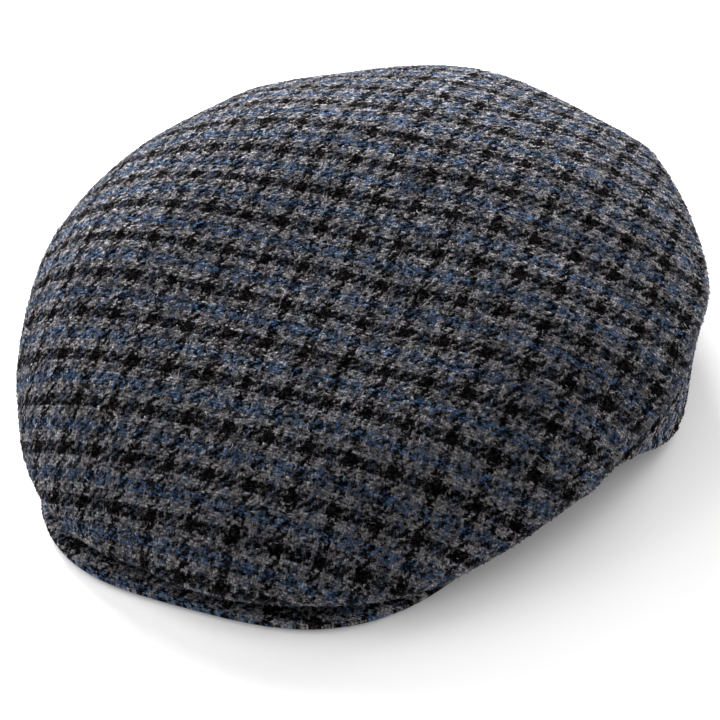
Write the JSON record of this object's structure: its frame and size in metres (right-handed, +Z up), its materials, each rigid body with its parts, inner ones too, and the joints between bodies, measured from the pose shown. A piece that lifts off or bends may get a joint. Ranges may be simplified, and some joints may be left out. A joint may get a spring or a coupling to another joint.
{
  "type": "flat cap",
  "caption": "Flat cap in a small woven check: a low full crown pulled down over a short stiff peak, with side panels and an open head hollow.",
  "frame": {"origin": "on the table under the middle of the cap's bounding box", "axes": "+Z up, the peak points to -Y, the wearer's left side is +X"},
  "size_m": [0.251, 0.2677, 0.0656],
  "materials": {
    "wool_cloth": "soft woolly twill, matte"
  },
  "bodies": {
    "root": {"crown_top": "wool_cloth", "side_left": "wool_cloth", "side_right": "wool_cloth", "peak": "wool_cloth"}
  },
  "joints": []
}
